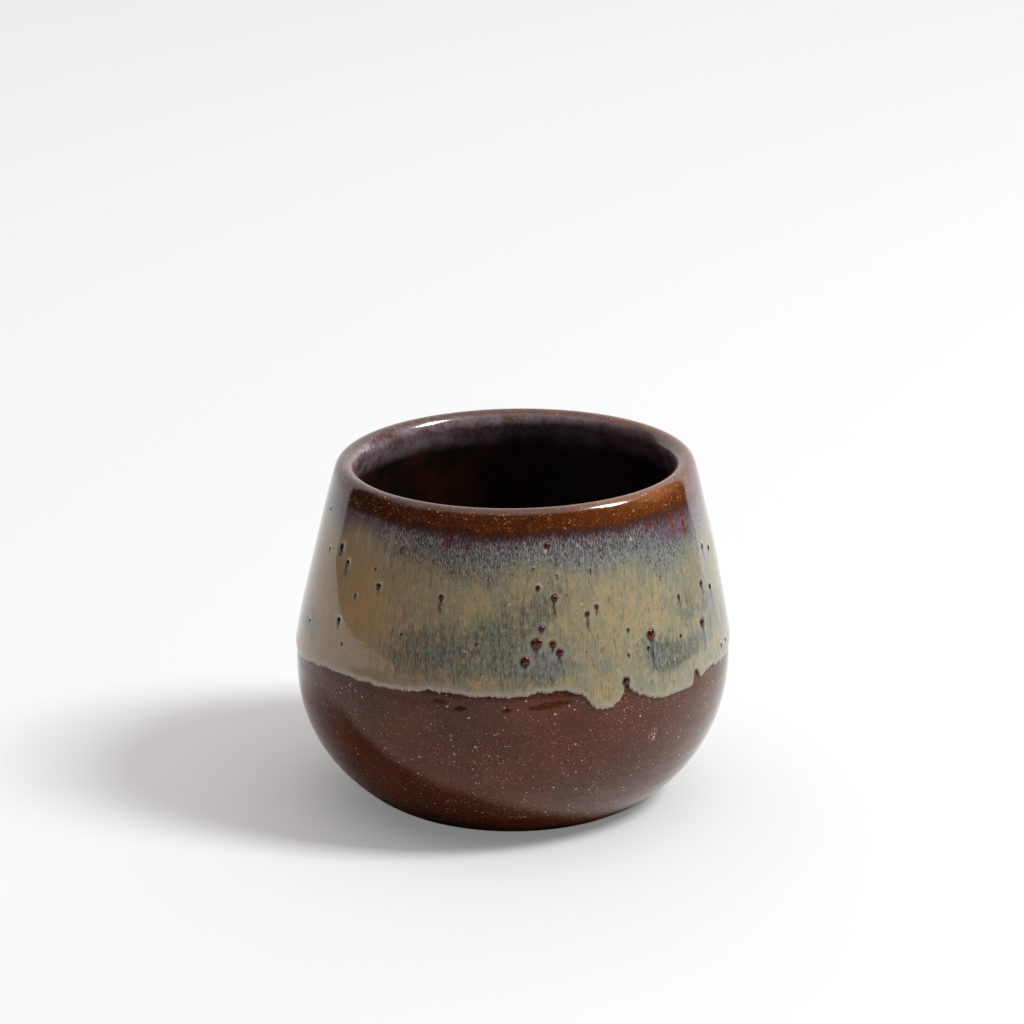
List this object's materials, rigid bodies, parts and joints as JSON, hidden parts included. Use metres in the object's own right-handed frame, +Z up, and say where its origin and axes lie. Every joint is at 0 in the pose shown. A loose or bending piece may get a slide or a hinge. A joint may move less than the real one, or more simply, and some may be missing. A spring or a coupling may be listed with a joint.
{
  "type": "coffee cup",
  "caption": "Handleless round-bellied stoneware cup with bare clay below, a running glaze above, an amber lip and a dark glazed inside, for hot drinks.",
  "frame": {"origin": "centre of the foot, on the surface that the cup stands on", "axes": "+Z up the cup's turning axis towards the mouth, -Y towards the side that the picture shows"},
  "size_m": [0.0887, 0.0888, 0.07],
  "materials": {
    "clay": "satin bare stoneware",
    "outer_glaze": "gloss",
    "rim_glaze": "gloss",
    "liner_glaze": "gloss"
  },
  "bodies": {
    "root": {"clay_body": "clay", "outer_glaze": "outer_glaze", "rim_glaze": "rim_glaze", "liner_glaze": "liner_glaze"}
  },
  "joints": []
}
